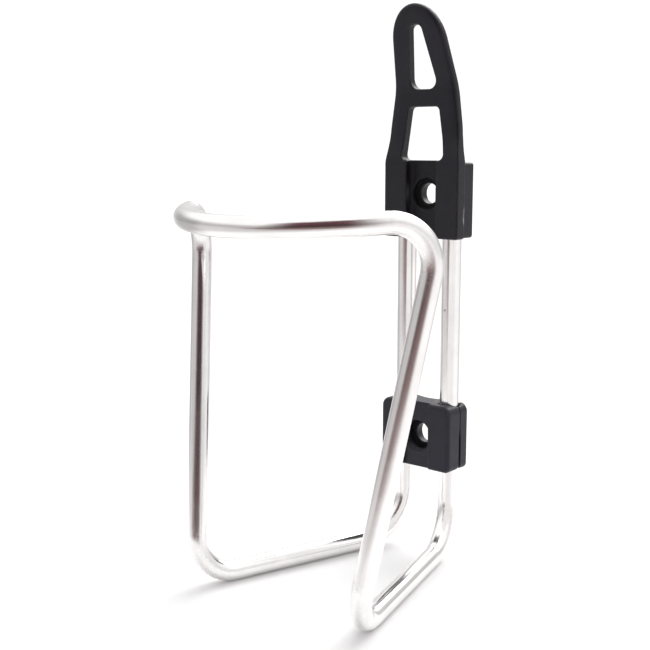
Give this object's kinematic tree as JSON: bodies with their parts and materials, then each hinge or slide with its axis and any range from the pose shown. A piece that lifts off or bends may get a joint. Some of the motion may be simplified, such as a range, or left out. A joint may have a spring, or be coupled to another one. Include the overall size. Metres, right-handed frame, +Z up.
{
  "type": "bicycle water bottle cage",
  "caption": "Wire bottle cage: a bent aluminium rod forms the legs, base and hoop, held by a nylon bracket with a spring tongue and a sliding nylon mount block.",
  "frame": {"origin": "on the plane the floor runs rest on, under the middle of the bounding box", "axes": "+Z up along the rear legs, +Y towards the bicycle frame tube, -Y towards the hoop front, +X to the right seen from the hoop side"},
  "size_m": [0.0752, 0.08, 0.1431],
  "materials": {
    "aluminium": "polished to satin, with fine draw marks and small pits",
    "nylon_upper": "satin black, fine moulded grain",
    "nylon_lower": "satin black, fine moulded grain"
  },
  "bodies": {
    "cage": {"wire_frame": "aluminium", "upper_bracket": "nylon_upper"},
    "lower_mount": {"lower_mount": "nylon_lower"}
  },
  "joints": [
    {"name": "mount_slide", "type": "slide", "parent": "cage", "child": "lower_mount", "axis": [0, 0, 1], "range_m": [-0.007, 0.043]}
  ]
}
